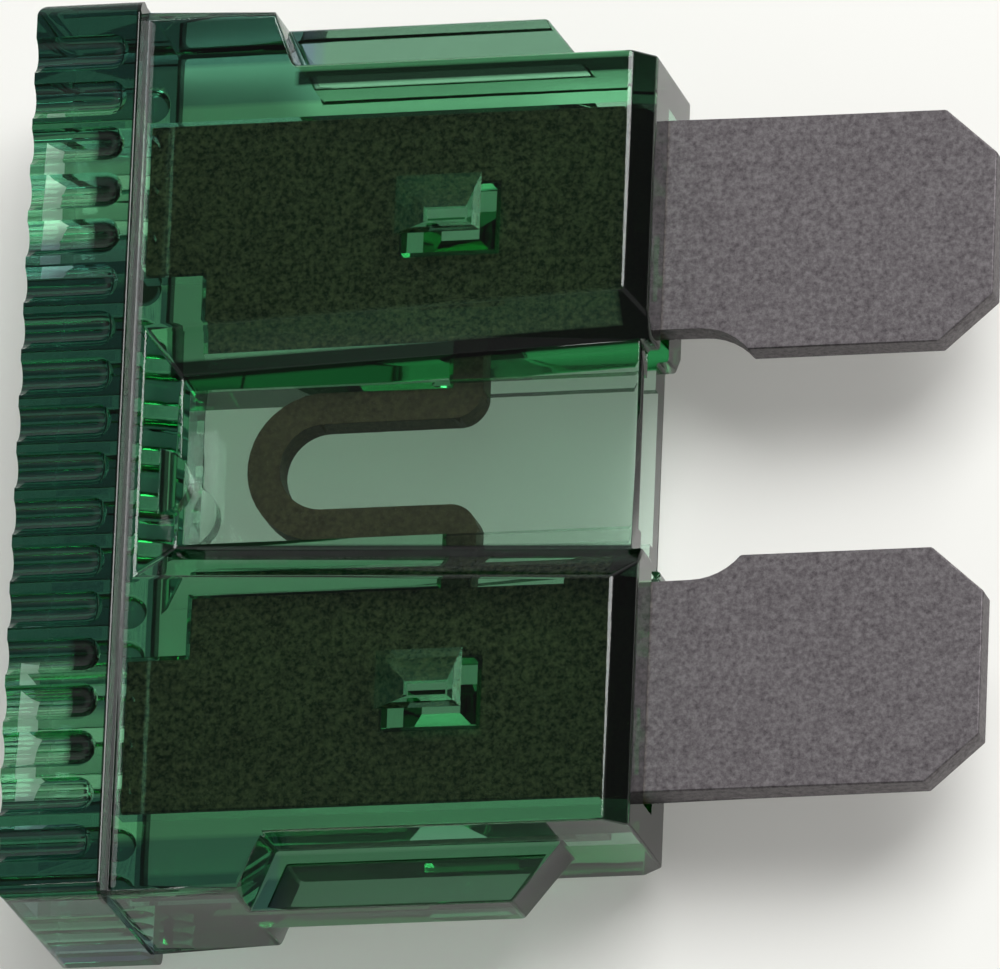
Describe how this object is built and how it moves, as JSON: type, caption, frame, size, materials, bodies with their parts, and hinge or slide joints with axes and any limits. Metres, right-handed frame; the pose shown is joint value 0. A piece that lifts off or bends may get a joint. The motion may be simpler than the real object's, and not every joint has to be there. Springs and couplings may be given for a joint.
{
  "type": "blade fuse",
  "caption": "Automotive blade fuse: flat metal blades and a U-shaped fuse link held in a see-through green moulded plastic housing with a wider ribbed cap.",
  "frame": {"origin": "centre of the overall outline, on the plane that the cap's back face lies on", "axes": "+X from the cap towards the blade tips, +Y across from one blade to the other, +Z out of the front face"},
  "size_m": [0.0198, 0.0194, 0.005],
  "materials": {
    "green_plastic": "see-through green injection-moulded plastic, glossy",
    "zinc": "stamped zinc alloy strip, matte and finely mottled"
  },
  "bodies": {
    "root": {"housing": "green_plastic", "fuse_strip": "zinc"}
  },
  "joints": []
}
